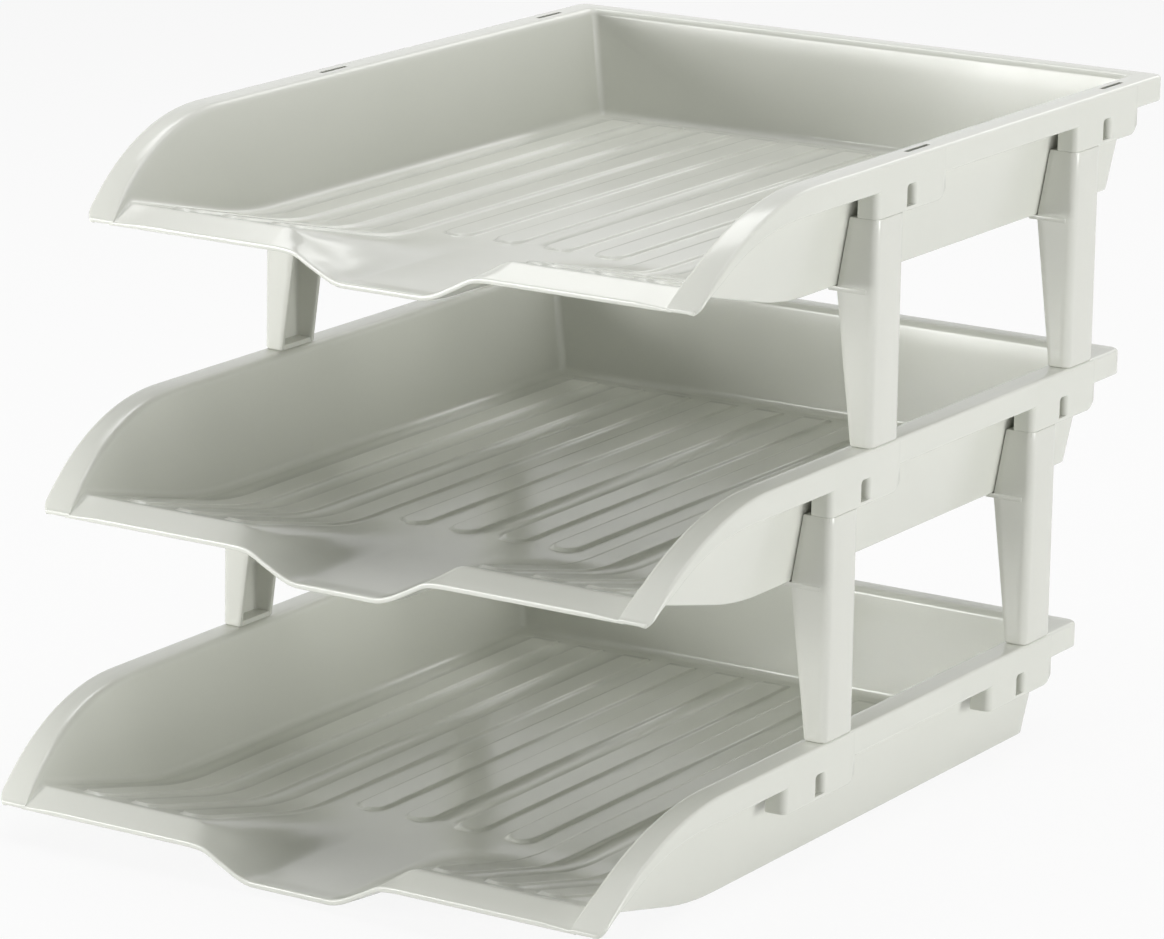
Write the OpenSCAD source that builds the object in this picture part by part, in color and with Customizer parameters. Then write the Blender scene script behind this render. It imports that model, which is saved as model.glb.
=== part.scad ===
// Three-tier paper tray: three identical moulded trays, each stepped back from the one below,
// carried on four hollow risers per storey that push into the rims above and below them.
// A tray's own frame has its front tip at y = 0, its base at z = 0 and its middle at x = 0.

/* [Tray] */
// Width over the rim
tray_w = 294; // [270:1:330]
// Depth from the front tip to the back of the rim
tray_d = 376; // [340:1:420]
// Height from the base to the top of the rim
tray_h = 50; // [44:1:60]
// Thickness of the side and back walls
wall_t = 2.4; // [1.8:0.1:3.2]
// How far the side walls lean in, from rim to base
side_draft = 8.2; // [4:0.2:11]
// How far the back wall leans in, from rim to base
back_draft = 4; // [1:0.2:8]
// Thickness of the floor
floor_t = 2.4; // [1.8:0.1:3.2]
// Height of the floor's underside above the walls' lower edge
floor_lift = 0.5; // [0.3:0.1:1.5]

/* [Rim] */
// Width of the rim's flat flange at the sides, out from the wall
flange_w = 9.8; // [8.6:0.1:14]
// Width of the flange behind the back wall
back_flange_w = 8; // [6:0.5:14]
// Thickness of the flange
flange_t = 2.4; // [1.8:0.1:3.2]
// Height of the lip that hangs from the flange's edge
lip_h = 11; // [8:0.5:14]
// Thickness of the lip
lip_t = 2.4; // [1.8:0.1:3.2]
// Height of the lip where it runs out at the front tip
tip_lip_h = 2.8; // [2.6:0.1:6]
// Radius of the sweep that takes the rim down to the front tip
sweep_r = 110; // [104:1:130]
// Length of that sweep, back from the front tip
sweep_len = 81; // [76:1:86]
// How far each front tip stands in from the rim's side
tip_narrow = 4; // [3:0.1:7]
// Radius of the front tip in plan
tip_r = 4; // [2:0.5:7]
// Radius of the rim's back corners
corner_r = 5; // [3:0.5:20]

/* [Front] */
// Height of the front ridge's underside above the base
ridge_rise = 17.6; // [12:0.2:18.4]
// Distance of the ridge behind the front edge
ridge_y = 11.5; // [8:0.5:16]
// Slope of the ramp that climbs to the ridge, in degrees
ramp_a = 13.2; // [10:0.2:16]
// Radius of the bend between floor and ramp
knee_r = 155; // [60:5:200]
// How far the apron falls from the ridge to the front edge
apron_drop = 6.2; // [2:0.2:8]
// Width of the scoop's flat bottom
scoop_floor_w = 36; // [20:1:50]
// Width of the scoop where its flanks reach the ridge
scoop_top_w = 92; // [76:1:104]
// Share of the ridge's rise that is left along the scoop's bottom
scoop_floor_share = 0.06; // [0.02:0.01:0.2]

/* [Floor ribs] */
// Spacing of the ribs
rib_pitch = 24; // [22:0.5:24.5]
// Width of a rib
rib_w = 13; // [6:0.5:14]
// Height of a rib
rib_h = 1; // [0.6:0.1:2]
// Distance of the ribs' front ends behind the ridge
rib_front_gap = 5; // [3:0.5:12]
// Distance of the ribs' back ends from the back wall
rib_back_gap = 9; // [4:1:30]

/* [Sockets] */
// Distance of the front socket block behind the front tip
socket_y = 128; // [110:1:140]
// Distance between the front and rear socket blocks
socket_spacing = 168.5; // [150:0.5:174]
// Length of a socket block
socket_l = 55; // [54.5:0.5:60]
// Width of a socket block
socket_w = 9.5; // [9:0.1:9.7]
// Depth of a socket block's lower face below the rim top
socket_drop = 21.7; // [18:0.1:25]
// Thickness of a socket block's inner walls
socket_wall = 2.2; // [1.6:0.1:2.4]
// Radius of the block's front upright edge
socket_front_r = 3; // [1:0.5:4]
// Radius of the block's lower rear corner
socket_rear_r = 6; // [2:0.5:9]
// Width of the latch window
window_w = 6.5; // [4:0.5:6.5]
// Height of the latch window
window_h = 9; // [5:0.5:10]
// How far the window's rear edge slants back, from the lip's inner face to its outer face
window_flare = 2; // [0.4:0.1:3]
// Radius of the window's upper corners
window_r = 2; // [0.5:0.1:2.2]
// Width of the slot through the flange for the tongue of the riser above
slot_w = 2.2; // [1.6:0.1:3.4]

/* [Stack] */
// Height of one tier above the next
tier_pitch = 114; // [100:1:130]
// How far each tier steps back from the one below
tier_step = 30; // [29.5:0.1:31]

/* [Risers] */
// Length of a riser along the rim
riser_l = 23; // [20:0.5:23.5]
// Thickness of a riser's walls
riser_t = 2.2; // [1.6:0.1:2.8]
// Width of a riser's foot across the rim
foot_w = 9.5; // [8.5:0.1:10.5]
// Radius of a riser's outer upright edges
riser_r = 3.5; // [1:0.5:5]
// Reach of the ledge under the tray's lower edge
ledge_reach = 3.5; // [3:0.5:8]
// Thickness of the ledge
ledge_t = 2; // [1.5:0.1:4]
// Height of the peg and the tongue at a riser's two ends
peg_h = 13; // [8:0.5:16]
// Chamfer round the end of a peg or tongue
peg_chamfer = 1; // [0.4:0.1:1.4]
// Clearance round a peg in its socket and a tongue in its slot
peg_clear = 0.3; // [0.2:0.05:0.5]
// Clearance between a riser and the tray wall that it follows
wall_clear = 0.3; // [0.2:0.05:0.6]

/* [Hidden] */
$fn = 64;

tray_colour = [0.85, 0.86, 0.83];
riser_colour = [0.83, 0.84, 0.81];

// Reach of a cutting shape past the face that it cuts
over = 20;
// Steps round a rounded plan corner, along the sweep in plan, up a scoop flank and along the knee
corner_steps = 8;
sweep_steps = 8;
flank_steps = 10;
knee_steps = 6;

half_w = tray_w / 2;
tiers_up = 2;
stack_front = -(tray_d + tiers_up * tier_step) / 2;

// Side and back walls: faces at height z, measured at their outer side
side_wall_tx = wall_t * sqrt(1 + pow(side_draft / tray_h, 2));
back_wall_ty = wall_t * sqrt(1 + pow(back_draft / tray_h, 2));
function wall_x(z) = half_w - flange_w - side_draft * (tray_h - z) / tray_h;
function wall_y(z) = tray_d - back_flange_w - back_draft * (tray_h - z) / tray_h;

// Sweep of the rim: its centre's height, and how far the rim has come down at depth y
sweep_z = tray_h - sweep_r;
function sweep_fall(y) = sweep_r - sqrt(pow(sweep_r, 2) - pow(max(sweep_len - y, 0), 2));
tip_fall = sweep_fall(0);
// The lip's lower edge is an arc too: level at the sweep's start, and tip_lip_h inside the rim at the tip
lip_end_y = tip_lip_h * sweep_len / sweep_r;
lip_end_z = tray_h - tip_fall - tip_lip_h * (sweep_r - tip_fall) / sweep_r;
lip_span = sweep_len - lip_end_y;
lip_fall = tray_h - lip_h - lip_end_z;
lip_r = (pow(lip_span, 2) + pow(lip_fall, 2)) / (2 * lip_fall);

// Front moulding: height of its underside over the walls' lower edge along the depth, outside the scoop
ramp_foot_y = ridge_y + ridge_rise / tan(ramp_a);
knee_tangent = knee_r * tan(ramp_a / 2);
knee_back_y = ramp_foot_y + knee_tangent;
knee_front_y = ramp_foot_y - knee_tangent * cos(ramp_a);
function rise(y) =
    y >= knee_back_y ? 0 :
    y >= knee_front_y ? knee_r - sqrt(pow(knee_r, 2) - pow(knee_back_y - y, 2)) :
    y >= ridge_y ? (ramp_foot_y - y) * tan(ramp_a) :
    ridge_rise - apron_drop * (ridge_y - y) / ridge_y;
// Share of that rise across the width: small along the scoop's bottom, whole outside it, a cosine between
flank_w = (scoop_top_w - scoop_floor_w) / 2;
function flank(x) = min(max((abs(x) - scoop_floor_w / 2) / flank_w, 0), 1);
function share(x) = scoop_floor_share + (1 - scoop_floor_share) * (1 - cos(180 * flank(x))) / 2;

knee_ys = [for (i = [0:knee_steps]) knee_front_y + (knee_back_y - knee_front_y) * i / knee_steps];
front_ys = concat([0, ridge_y], knee_ys);

// Ribs: as many as fit each side of the middle, and those clear of the scoop run up the ramp
rib_room = wall_x(0) - side_wall_tx - rib_w / 2;
rib_pairs = floor(rib_room / rib_pitch + 0.5);
rib_back_y = wall_y(0) - back_wall_ty - rib_back_gap;
floor_top = floor_lift + floor_t;

// Socket blocks: the riser below pegs into the front cell, the one above stands its tongue in the rear cell
socket_ys = [socket_y, socket_y + socket_spacing];
socket_z = tray_h - socket_drop;
cell_x = half_w - socket_w + socket_wall;
cell_w = socket_w - socket_wall - lip_t;
cell_l = riser_l - 2 * socket_wall;
middle_l = tier_step - riser_l;
window_z = tray_h - lip_h;

// Risers, in their own frame: x in from the outer face, y back from the front face, z up from the rim below
riser_h = tier_pitch - socket_drop;
ledge_z = tier_pitch - tray_h;
ledge_in = half_w - wall_x(0);
shoulder_in = half_w - wall_x(socket_z) - wall_clear;
peg_w = cell_w - 2 * peg_clear;
peg_l = cell_l - 2 * peg_clear;
peg_x = lip_t + peg_clear;
peg_y = socket_wall + peg_clear;
tongue_w = slot_w - 2 * peg_clear;
tongue_x = half_w - cell_x - slot_w + peg_clear;

// Carries a drawing in y and z along the x axis, to both sides of the middle
module along_x(length) {
    rotate([90, 0, 90]) linear_extrude(length, center = true) children();
}

// Carries a drawing in x and z along the y axis, from one depth to another
module along_y(from, to) {
    translate([0, to, 0]) rotate([90, 0, 0]) linear_extrude(to - from) children();
}

module both_sides() {
    children();
    mirror([1, 0, 0]) children();
}

// Right half of the rim's plan outline from back to front, set in by a margin
function rim_half(inset) = concat(
    [for (i = [0:corner_steps])
        let (r = corner_r - min(inset, corner_r - 1), a = 90 - 90 * i / corner_steps)
        [half_w - inset - r + r * cos(a), tray_d - inset - r + r * sin(a)]],
    [for (i = [0:sweep_steps])
        let (y = sweep_len - (sweep_len - tip_r) * i / sweep_steps)
        [half_w - inset - tip_narrow * sweep_fall(y) / tip_fall, y]]
);

module rim_plan() {
    tip_x = half_w - tip_narrow * sweep_fall(tip_r) / tip_fall;
    tip = [for (i = [1:corner_steps])
        let (a = -90 * i / corner_steps)
        [tip_x - tip_r + tip_r * cos(a), tip_r + tip_r * sin(a)]];
    right = concat(rim_half(0), tip);
    left = [for (i = [len(right) - 1:-1:0]) [-right[i][0], right[i][1]]];
    polygon(concat(right, left));
}

// Space inside the lip, open at the front
module lip_inside_plan() {
    right = rim_half(lip_t);
    end_x = right[len(right) - 1][0];
    open_right = concat(right, [[end_x, -over]]);
    left = [for (i = [len(open_right) - 1:-1:0]) [-open_right[i][0], open_right[i][1]]];
    polygon(concat(open_right, left));
}

// Region of depth and height under the rim's top, taken down by a thickness
module under_rim(down) {
    translate([sweep_len, -over]) square([tray_d, tray_h + over - down]);
    intersection() {
        translate([sweep_len, sweep_z]) circle(sweep_r - down, $fn = 200);
        translate([-over, -over]) square([sweep_len + over + 1, tray_h + over]);
    }
}

// Region of depth and height under the lip's lower edge
module under_lip() {
    translate([sweep_len, -over]) square([tray_d, tray_h + over - lip_h]);
    intersection() {
        translate([sweep_len, tray_h - lip_h - lip_r]) circle(lip_r, $fn = 200);
        translate([-over, -over]) square([sweep_len + over + 1, tray_h + over]);
    }
}

// Room between the leaning walls, drawn in by a thickness at the sides and back
module pan(side_in, back_in) {
    low = -over;
    high = tray_h + over;
    intersection() {
        along_y(-over, tray_d)
            polygon([
                [-wall_x(low) + side_in, low], [wall_x(low) - side_in, low],
                [wall_x(high) - side_in, high], [-wall_x(high) + side_in, high]
            ]);
        along_x(2 * tray_w)
            polygon([
                [-2 * over, low], [wall_y(low) - back_in, low],
                [wall_y(high) - back_in, high], [-2 * over, high]
            ]);
    }
}

// Everything below the walls' lower edge, which climbs with the front moulding
module below_walls() {
    along_x(2 * tray_w)
        polygon(concat(
            [[-over, -2 * over], [-over, rise(0)]],
            [for (y = front_ys) [y, rise(y)]],
            [[tray_d + over, 0], [tray_d + over, -2 * over]]
        ));
}

// One solid socket block on the right side, up into the flange
module socket_block() {
    reach = half_w + over;
    intersection() {
        linear_extrude(tray_h) {
            translate([half_w - socket_w, socket_front_r])
                square([socket_w + over, socket_l - socket_front_r]);
            translate([half_w - socket_w, 0]) square([socket_w - socket_front_r, socket_l]);
            translate([half_w - socket_front_r, socket_front_r]) circle(socket_front_r);
        }
        along_x(2 * reach) {
            translate([0, socket_z + socket_rear_r]) square([socket_l, socket_drop - socket_rear_r]);
            translate([0, socket_z]) square([socket_l - socket_rear_r, socket_drop]);
            translate([socket_l - socket_rear_r, socket_z + socket_rear_r]) circle(socket_rear_r);
        }
    }
}

// Latch window of one socket block: front edge square, rear edge slanted through the lip, upper corners round
module window_cut() {
    front_y = riser_l + (middle_l - window_w) / 2;
    rear_y = front_y + window_w;
    outer_y = rear_y + window_flare;
    sill_z = window_z - window_h;
    intersection() {
        linear_extrude(tray_h)
            polygon([
                [cell_x, front_y], [half_w + over, front_y], [half_w + over, outer_y],
                [half_w, outer_y], [half_w - lip_t, rear_y], [cell_x, rear_y]
            ]);
        along_x(2 * tray_w) {
            translate([front_y, sill_z]) square([outer_y - front_y, window_h - window_r]);
            translate([front_y + window_r, sill_z]) square([outer_y - front_y - 2 * window_r, window_h]);
            for (y = [front_y + window_r, outer_y - window_r])
                translate([y, window_z - window_r]) circle(window_r);
        }
    }
}

// Cells, slot and latch window of one socket block
module socket_cuts() {
    cell_h = tray_h - flange_t + over;
    rear_cell_y = tier_step + socket_wall;
    translate([cell_x, socket_wall, -over]) cube([cell_w, cell_l, cell_h]);
    translate([cell_x, riser_l, -over]) cube([cell_w, middle_l, cell_h]);
    translate([cell_x, rear_cell_y, -over]) cube([cell_w, socket_l - socket_wall - rear_cell_y, cell_h]);
    translate([cell_x, rear_cell_y, 0]) cube([slot_w, cell_l, tray_h + over]);
    window_cut();
}

// Floor, ramp, ridge, apron and scoop in one skin, seated half-way into the walls
module floor_skin() {
    flank_xs = [for (i = [0:flank_steps]) scoop_floor_w / 2 + flank_w * i / flank_steps];
    columns = 2 * len(flank_xs) + 2;
    rows = concat(front_ys, [wall_y(0) - back_wall_ty / 2]);
    function column_x(i, z) =
        i == 0 ? -wall_x(z) + side_wall_tx / 2 :
        i <= len(flank_xs) ? -flank_xs[len(flank_xs) - i] :
        i < columns - 1 ? flank_xs[i - len(flank_xs) - 1] :
        wall_x(z) - side_wall_tx / 2;
    function skin(i, y, up) =
        let (x = column_x(i, rise(y)), z = rise(y) * share(x) + floor_lift + up)
        [x, y, z];
    top = [for (y = rows) for (i = [0:columns - 1]) skin(i, y, floor_t)];
    bottom = [for (y = rows) for (i = [0:columns - 1]) skin(i, y, 0)];
    n = len(top);
    last = len(rows) - 1;
    function at(j, i) = j * columns + i;
    top_faces = [for (j = [0:last - 1]) for (i = [0:columns - 2]) each [
        [at(j, i), at(j + 1, i), at(j + 1, i + 1)], [at(j, i), at(j + 1, i + 1), at(j, i + 1)]]];
    bottom_faces = [for (f = top_faces) [n + f[2], n + f[1], n + f[0]]];
    edge = concat(
        [for (i = [0:columns - 1]) at(0, i)],
        [for (j = [1:last]) at(j, columns - 1)],
        [for (i = [columns - 2:-1:0]) at(last, i)],
        [for (j = [last - 1:-1:1]) at(j, 0)]
    );
    edge_faces = [for (k = [0:len(edge) - 1])
        let (a = edge[k], b = edge[(k + 1) % len(edge)])
        each [[a, b, n + b], [a, n + b, n + a]]];
    skin_faces = concat(top_faces, bottom_faces, edge_faces);
    polyhedron(points = concat(top, bottom), faces = skin_faces, convexity = 6);
}

// One raised rib at x, from a front depth to the back, round-ended at the front
module rib(x, front_y) {
    ys = concat([for (y = front_ys) if (y > front_y) y], [rib_back_y]);
    profile = concat([front_y], ys);
    upper = [for (y = profile) [y, rise(y) + floor_top + rib_h]];
    lower = [for (i = [len(profile) - 1:-1:0]) [profile[i], rise(profile[i]) + floor_top - floor_t / 2]];
    intersection() {
        along_x(2 * tray_w) polygon(concat(upper, lower));
        linear_extrude(tray_h) {
            translate([x, front_y + rib_w / 2]) circle(rib_w / 2);
            translate([x - rib_w / 2, front_y + rib_w / 2]) square([rib_w, rib_back_y - front_y - rib_w / 2]);
        }
    }
}

module ribs() {
    for (k = [0:rib_pairs - 1]) {
        x = rib_pitch * (k + 0.5);
        clear_of_scoop = x - rib_w / 2 > scoop_top_w / 2;
        front_y = clear_of_scoop ? ridge_y + rib_front_gap : knee_back_y;
        both_sides() rib(x, front_y);
    }
}

// Rim, walls and socket blocks, cut from one block under the rim's outline
module shell() {
    difference() {
        intersection() {
            linear_extrude(tray_h + over) rim_plan();
            along_x(2 * tray_w) under_rim(0);
        }
        pan(side_wall_tx, back_wall_ty);
        difference() {
            union() {
                intersection() {
                    translate([0, 0, -over]) linear_extrude(tray_h + over) lip_inside_plan();
                    along_x(2 * tray_w) under_rim(flange_t);
                }
                along_x(2 * tray_w) under_lip();
            }
            pan(0, 0);
            for (y = socket_ys) both_sides() translate([0, y, 0]) socket_block();
        }
        below_walls();
    }
}

module tray() {
    color(tray_colour) difference() {
        union() {
            shell();
            floor_skin();
            ribs();
        }
        for (y = socket_ys) both_sides() translate([0, y, 0]) socket_cuts();
    }
}

// A peg or tongue of a width with chamfered end edges, standing up from z = 0
module peg(width) {
    chamfer = min(peg_chamfer, width / 3);
    intersection() {
        cube([width, peg_l, peg_h]);
        along_y(0, peg_l)
            polygon([
                [0, 0], [width, 0], [width, peg_h - chamfer], [width - chamfer, peg_h],
                [chamfer, peg_h], [0, peg_h - chamfer]
            ]);
        translate([width / 2, 0, 0]) along_x(2 * width)
            polygon([
                [0, 0], [peg_l, 0], [peg_l, peg_h - chamfer], [peg_l - chamfer, peg_h],
                [chamfer, peg_h], [0, peg_h - chamfer]
            ]);
    }
}

// Outline of a riser seen from the front: foot, taper, ledge, and the edge that follows the leaning wall
module riser_face() {
    polygon([
        [0, 0], [foot_w, 0], [ledge_in - wall_clear, ledge_z - ledge_t],
        [ledge_in + ledge_reach, ledge_z - ledge_t], [ledge_in + ledge_reach, ledge_z],
        [ledge_in - wall_clear, ledge_z], [shoulder_in, riser_h], [0, riser_h]
    ]);
}

// A left-hand riser: a channel open towards the trays, with a foot, a ledge, a shoulder, a peg and a tongue
module riser() {
    inner_l = riser_l - 2 * riser_t;
    color(riser_colour) {
        difference() {
            intersection() {
                along_y(0, riser_l) riser_face();
                linear_extrude(riser_h) {
                    translate([0, riser_r]) square([tray_w, riser_l - 2 * riser_r]);
                    translate([riser_r, 0]) square([tray_w, riser_l]);
                    for (y = [riser_r, riser_l - riser_r]) translate([riser_r, y]) circle(riser_r);
                }
            }
            translate([riser_t, riser_t, riser_t]) cube([tray_w, inner_l, ledge_z - ledge_t - riser_t]);
            translate([riser_t, riser_t, ledge_z]) cube([tray_w, inner_l, riser_h - ledge_z - riser_t]);
        }
        translate([peg_x, peg_y, riser_h]) peg(peg_w);
        translate([tongue_x, peg_y, 0]) mirror([0, 0, 1]) peg(tongue_w);
    }
}

// Places a tray of a tier, counted from the bottom
module tray_at(tier) {
    translate([0, stack_front + tier * tier_step, tier * tier_pitch]) tray();
}

// Places a riser that stands on a tier: row 0 is the front one, side -1 is the left one
module riser_at(tier, row, side) {
    y = stack_front + (tier + 1) * tier_step + socket_ys[row];
    translate([0, y, tier * tier_pitch + tray_h])
        mirror([side > 0 ? 1 : 0, 0, 0]) translate([-half_w, 0, 0]) riser();
}

tray_at(0);  // lower_tray
tray_at(1);  // middle_tray
tray_at(2);  // top_tray
riser_at(0, 0, -1);  // lower_riser_front_left
riser_at(0, 0, 1);  // lower_riser_front_right
riser_at(0, 1, -1);  // lower_riser_rear_left
riser_at(0, 1, 1);  // lower_riser_rear_right
riser_at(1, 0, -1);  // upper_riser_front_left
riser_at(1, 0, 1);  // upper_riser_front_right
riser_at(1, 1, -1);  // upper_riser_rear_left
riser_at(1, 1, 1);  // upper_riser_rear_right
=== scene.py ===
# %% [markdown]
# # A three-tier paper tray
#
# Three moulded trays stand one above the other, each a little further back than the one below.
# Eight hollow risers carry them: each stands in a slot of one rim and pegs into a block under the next.
# The frame already holds every piece as a plain solid. This lesson dresses them: it makes each moulding
# again as a smooth surface, with the soft edges that a moulded plastic tray has, and gives it its finish.
# Bevelling the solids would be quicker, but they are loose triangles, which a bevel can't follow well.

# %% Load the frame
import math

import bmesh
import bpy
import numpy as np
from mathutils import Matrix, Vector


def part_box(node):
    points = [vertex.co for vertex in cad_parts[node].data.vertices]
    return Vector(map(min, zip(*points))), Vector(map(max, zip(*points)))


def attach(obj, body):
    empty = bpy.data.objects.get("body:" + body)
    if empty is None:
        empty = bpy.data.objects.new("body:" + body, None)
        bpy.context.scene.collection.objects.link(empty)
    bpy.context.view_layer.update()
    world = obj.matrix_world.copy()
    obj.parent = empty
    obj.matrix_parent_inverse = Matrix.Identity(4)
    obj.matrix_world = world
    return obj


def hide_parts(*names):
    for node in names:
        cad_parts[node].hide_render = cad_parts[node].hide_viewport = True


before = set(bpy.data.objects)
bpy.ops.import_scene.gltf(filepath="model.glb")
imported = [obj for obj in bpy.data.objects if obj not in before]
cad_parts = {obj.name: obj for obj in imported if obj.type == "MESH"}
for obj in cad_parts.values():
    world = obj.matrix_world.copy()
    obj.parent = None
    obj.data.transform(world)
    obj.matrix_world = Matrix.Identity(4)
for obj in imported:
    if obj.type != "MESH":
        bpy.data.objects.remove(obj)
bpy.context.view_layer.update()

# %% [markdown]
# ## Sizes
#
# The mouldings' sizes are in millimetres, and only the last step of each mesh turns them into Blender's
# metres. The camera, the floor and the lamps stand in metres from the start. The outer sizes could be
# written down again here, but they come from the boxes of the solids, so that the dress always fits the
# body. A tray is drawn in its own frame: the front tip at y = 0, the base at z = 0, the middle at x = 0.

# %% Outer sizes, read from the frame
MM = 0.001


def corners(node):
    """Lowest and highest corner of a solid at rest, in millimetres."""
    low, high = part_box(node)
    return np.array(low) / MM, np.array(high) / MM


tray_low, tray_high = corners("lower_tray")
next_low, _ = corners("middle_tray")
front_riser_low, front_riser_high = corners("lower_riser_front_left")
rear_riser_low, _ = corners("lower_riser_rear_left")

TRAY_W, TRAY_D, TRAY_H = tray_high - tray_low
HALF_W = TRAY_W / 2
TIER_STEP, TIER_PITCH = (next_low - tray_low)[1:]
RISER_L = front_riser_high[1] - front_riser_low[1]
SOCKET_YS = [front_riser_low[1] - next_low[1], rear_riser_low[1] - next_low[1]]
print("tray", TRAY_W, TRAY_D, TRAY_H, "tier", TIER_STEP, TIER_PITCH, "riser", RISER_L, "sockets", SOCKET_YS)

# %% Sizes of the moulding
WALL_T = 2.4
SIDE_LEAN, BACK_LEAN = 8.2, 4.0
FLOOR_T, FLOOR_LIFT = 2.4, 0.5
SIDE_FLANGE, BACK_FLANGE, FLANGE_T = 9.8, 8.0, 2.4
LIP_H, LIP_T, TIP_LIP_H, LIP_FADE = 11.0, 2.4, 3.5, 0.8
TIP_T, TIP_LIP_T, TIP_RUN, FRONT_THIN = 1.3, 1.45, 18.0, 0.7
SWEEP_R, SWEEP_LEN = 110.0, 81.0
TIP_NARROW, TIP_R, CORNER_R = 4.0, 4.0, 5.0
RIDGE_RISE, RIDGE_Y, RAMP_SLOPE = 17.6, 11.5, math.tan(math.radians(13.2))
KNEE_R, APRON_DROP = 155.0, 6.2
RIDGE_SOFT, FLANK_SOFT, RIDGE_END = 0.5, 5.0, 20.0
SCOOP_FLOOR_W, SCOOP_TOP_W, SCOOP_SHARE = 35.0, 86.0, 0.11
RIB_PITCH, RIB_W, RIB_H, RIB_PAIRS, RIB_EDGE = 24.0, 13.0, 1.0, 5, 1.0
RIB_FRONT_GAP, RIB_BACK_GAP = 5.0, 9.0
SOCKET_L, SOCKET_W, SOCKET_DROP, SOCKET_WALL = 55.0, 9.5, 21.7, 2.2
SOCKET_FRONT_R, SOCKET_REAR_R = 3.0, 6.0
WINDOW_W, WINDOW_H, WINDOW_FLARE, WINDOW_R = 6.5, 9.0, 2.0, 2.0
SLOT_W = 2.2
FLOOR_TOP = FLOOR_LIFT + FLOOR_T
print("floor top", FLOOR_TOP, "scoop", SCOOP_TOP_W, "rib pitch", RIB_PITCH)

# %% [markdown]
# ## The camera
#
# A long lens stands well back, to the right of the stack and above it, so that the uprights stay nearly
# parallel. A Track To constraint could aim it, but that keeps the picture level, and this camera has a
# small roll. So its turn is set as yaw, pitch and roll, and the columns of its matrix are the camera's
# right, up and backward directions.

# %% Camera
LENS_MM, SENSOR_MM = 169.14, 36.0
CAMERA_AT = (1.1629, -1.8601, 0.6974)
CAMERA_YAW, CAMERA_PITCH, CAMERA_ROLL = (math.radians(a) for a in (32.150, 14.570, 0.960))


def make_camera():
    """Camera whose backward axis is yaw and pitch on a sphere.
    Its right is level at first, and then right and up turn by the roll."""
    back = np.array([
        math.sin(CAMERA_YAW) * math.cos(CAMERA_PITCH),
        -math.cos(CAMERA_YAW) * math.cos(CAMERA_PITCH),
        math.sin(CAMERA_PITCH),
    ])
    level = np.array([math.cos(CAMERA_YAW), math.sin(CAMERA_YAW), 0.0])
    upright = np.cross(back, level)
    right = math.cos(CAMERA_ROLL) * level + math.sin(CAMERA_ROLL) * upright
    up = np.cross(back, right)
    matrix = np.eye(4)
    matrix[:3, 0], matrix[:3, 1], matrix[:3, 2], matrix[:3, 3] = right, up, back, CAMERA_AT
    data = bpy.data.cameras.new("camera")
    data.lens, data.sensor_width, data.sensor_fit = LENS_MM, SENSOR_MM, "HORIZONTAL"
    camera = bpy.data.objects.new("camera", data)
    camera.matrix_world = matrix.T.tolist()
    bpy.context.scene.collection.objects.link(camera)
    bpy.context.scene.camera = camera
    return camera


camera = make_camera()
print("camera at", [round(c, 3) for c in camera.location])

# %% [markdown]
# ## Grids and meshes
#
# A moulding could be drawn by hand with extrusions and loop cuts. Worked out as grids of points, it
# follows its formulas exactly, and one number changes it later. A grid needs only one rule for its faces:
# each four neighbours make a quad. A small collector keeps the grids of one moulding together, welds the
# points where two grids meet, and turns all faces outwards.

# %% Faces of a grid
def grid_faces(rows, columns):
    """Quads between neighbours of a rows by columns grid whose points are numbered row by row."""
    first = np.arange(rows - 1)[:, None] * columns + np.arange(columns - 1)[None, :]
    return np.stack([first, first + 1, first + columns + 1, first + columns], -1)


def ring_faces(rows, columns):
    """As grid_faces, but the last column also joins the first, so that each row is a closed ring."""
    start = np.arange(rows - 1)[:, None] * columns
    here = np.arange(columns)[None, :]
    there = (here + 1) % columns
    return np.stack([start + here, start + there, start + columns + there, start + columns + here], -1)


print("quads in a grid", grid_faces(3, 4).shape[:2], "and in rings", ring_faces(3, 4).shape[:2])

# %% Collector of one moulding
WELD = 0.002
SHARP_ANGLE = math.radians(38)


class Moulding:
    """Collects the point grids and faces of one piece, and makes a closed mesh of them."""

    def __init__(self):
        self.points, self.faces, self.count = [], [], 0

    def add(self, points, faces):
        """Adds points of any grid shape with faces that number them from 0.
        Returns the first point's number."""
        flat = np.asarray(points, float).reshape(-1, 3)
        start = self.count
        self.points.append(flat)
        self.faces += (np.asarray(faces).reshape(len(faces), -1) + start).tolist()
        self.count += len(flat)
        return start

    def add_grid(self, points, faces=None):
        """Adds a whole grid of shape rows, columns, 3."""
        rows, columns = points.shape[:2]
        quads = grid_faces(rows, columns) if faces is None else faces
        return self.add(points, quads.reshape(-1, 4))

    def make(self, name, shift, mirrored=False):
        """One object: points moved by shift, in millimetres, and welded, with its faces turned outwards.
        They are smooth between sharp edges."""
        points = np.concatenate(self.points) * ((-1, 1, 1) if mirrored else (1, 1, 1))
        mesh = bpy.data.meshes.new(name)
        mesh.from_pydata(((points + shift) * MM).tolist(), [], self.faces)
        work = bmesh.new()
        work.from_mesh(mesh)
        bmesh.ops.remove_doubles(work, verts=work.verts, dist=WELD * MM)
        bmesh.ops.recalc_face_normals(work, faces=work.faces)
        work.to_mesh(mesh)
        work.free()
        mesh.polygons.foreach_set("use_smooth", np.ones(len(mesh.polygons), bool))
        mesh.set_sharp_from_angle(angle=SHARP_ANGLE)
        piece = bpy.data.objects.new(name, mesh)
        bpy.context.scene.collection.objects.link(piece)
        return piece


print("points closer than", WELD, "mm weld")

# %% Steps and arcs
def steps(start, end, count):
    """Evenly spaced values with both ends, as a row for a grid."""
    return np.linspace(start, end, count)


def quarter(count):
    """Sine and cosine of evenly spaced angles from 0 to 90 degrees, as two rows."""
    a = np.linspace(0, math.pi / 2, count)
    return np.sin(a), np.cos(a)


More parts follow.
